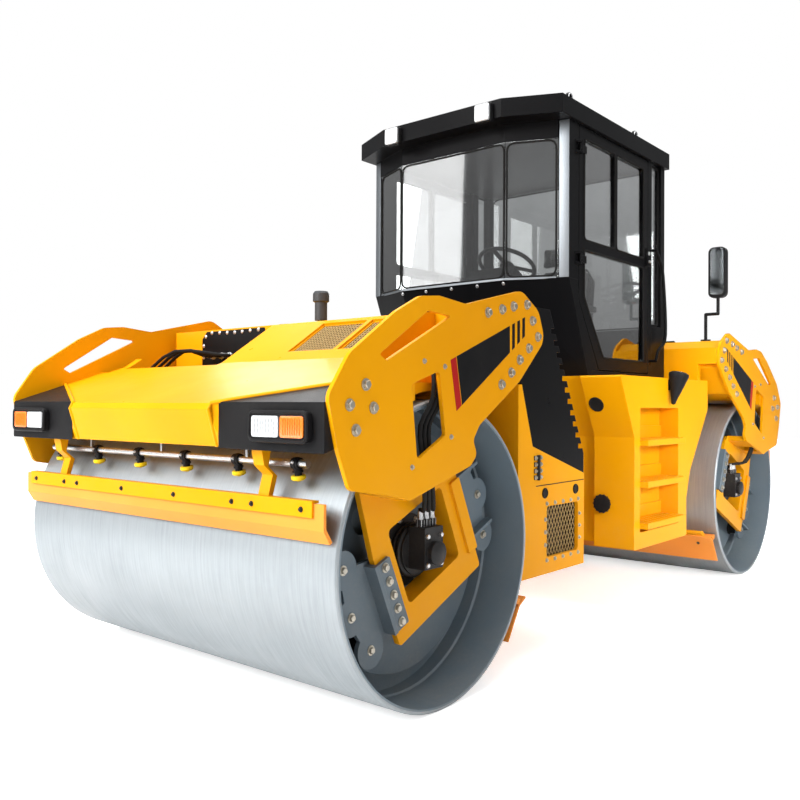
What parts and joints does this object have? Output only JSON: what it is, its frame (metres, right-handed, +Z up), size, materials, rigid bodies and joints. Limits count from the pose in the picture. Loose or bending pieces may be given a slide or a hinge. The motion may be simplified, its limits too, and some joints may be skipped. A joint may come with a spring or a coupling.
{
  "type": "tandem drum road roller",
  "caption": "Tandem vibratory road roller: smooth steel drums in open side forks, hooded ends, articulated centre hitch and a glazed cab with hinged side doors.",
  "frame": {"origin": "on the ground, midway between the drum axles and midway across the machine", "axes": "+Z up, -Y to the front of the machine, +X to the machine's left side"},
  "size_m": [2.226, 5.188, 3.0509],
  "materials": {
    "yellow_paint": "gloss paint",
    "drum_steel": "ground steel",
    "grey_paint": "satin paint",
    "rubber": "matt",
    "motor_black": "satin paint on castings",
    "black_plastic": "fine grain",
    "lamp_lens": "clear lens",
    "scraper_plastic": "cast polyurethane",
    "bright_steel": "plain steel",
    "black_paint": "satin paint",
    "window_glass": "clear, slight tint",
    "seat_fabric": "woven cover"
  },
  "bodies": {
    "rear_frame": {"rear_side_plates": "yellow_paint", "rear_forks": "yellow_paint", "rear_drum_brackets": "grey_paint", "rear_buffers": "rubber", "rear_motors": "motor_black", "rear_hoses": "rubber", "rear_hood": "yellow_paint", "rear_lamp_pods": "black_plastic", "rear_lamps": "lamp_lens", "rear_scrapers": "scraper_plastic", "rear_scraper_bars": "yellow_paint", "rear_spray_bar": "bright_steel", "rear_chassis": "yellow_paint", "steering_pin": "bright_steel", "side_tanks": "yellow_paint", "steps": "yellow_paint", "cab_floor": "black_paint", "cab_front_panel": "black_paint", "cab_rear_panel": "black_paint", "cab_posts": "black_paint", "cab_roof": "black_paint", "cab_glass": "window_glass", "grab_rails": "black_paint", "seat": "seat_fabric", "console": "black_plastic", "mirrors": "black_plastic"},
    "front_frame": {"front_side_plates": "yellow_paint", "front_forks": "yellow_paint", "front_drum_brackets": "grey_paint", "front_buffers": "rubber", "front_motors": "motor_black", "front_hoses": "rubber", "front_hood": "yellow_paint", "front_lamp_pods": "black_plastic", "front_lamps": "lamp_lens", "front_scrapers": "scraper_plastic", "front_scraper_bars": "yellow_paint", "front_spray_bar": "bright_steel", "front_chassis": "yellow_paint", "engine_cover": "black_paint", "engine_side_panels": "black_paint", "engine_doors": "yellow_paint", "front_grilles": "black_paint", "engine_block": "motor_black", "exhaust_cap": "black_plastic"},
    "front_drum": {"front_drum": "drum_steel"},
    "rear_drum": {"rear_drum": "drum_steel"},
    "left_door": {"left_door": "black_paint", "left_door_glass": "window_glass"},
    "right_door": {"right_door": "black_paint", "right_door_glass": "window_glass"}
  },
  "joints": [
    {"name": "steering", "type": "hinge", "parent": "rear_frame", "child": "front_frame", "pos_m": [0, -0.405, 0.685], "axis": [0, 0, 1], "range_deg": [-30, 30]},
    {"name": "front_drum_roll", "type": "hinge", "parent": "front_frame", "child": "front_drum", "pos_m": [0, -1.845, 0.625], "axis": [1, 0, 0], "continuous": true},
    {"name": "rear_drum_roll", "type": "hinge", "parent": "rear_frame", "child": "rear_drum", "pos_m": [0, 1.845, 0.625], "axis": [1, 0, 0], "continuous": true},
    {"name": "left_door_hinge", "type": "hinge", "parent": "rear_frame", "child": "left_door", "pos_m": [0.755, -0.112, 2.4], "axis": [0, 0, 1], "range_deg": [-80, 0]},
    {"name": "right_door_hinge", "type": "hinge", "parent": "rear_frame", "child": "right_door", "pos_m": [-0.755, -0.112, 2.4], "axis": [0, 0, 1], "range_deg": [0, 80]}
  ]
}
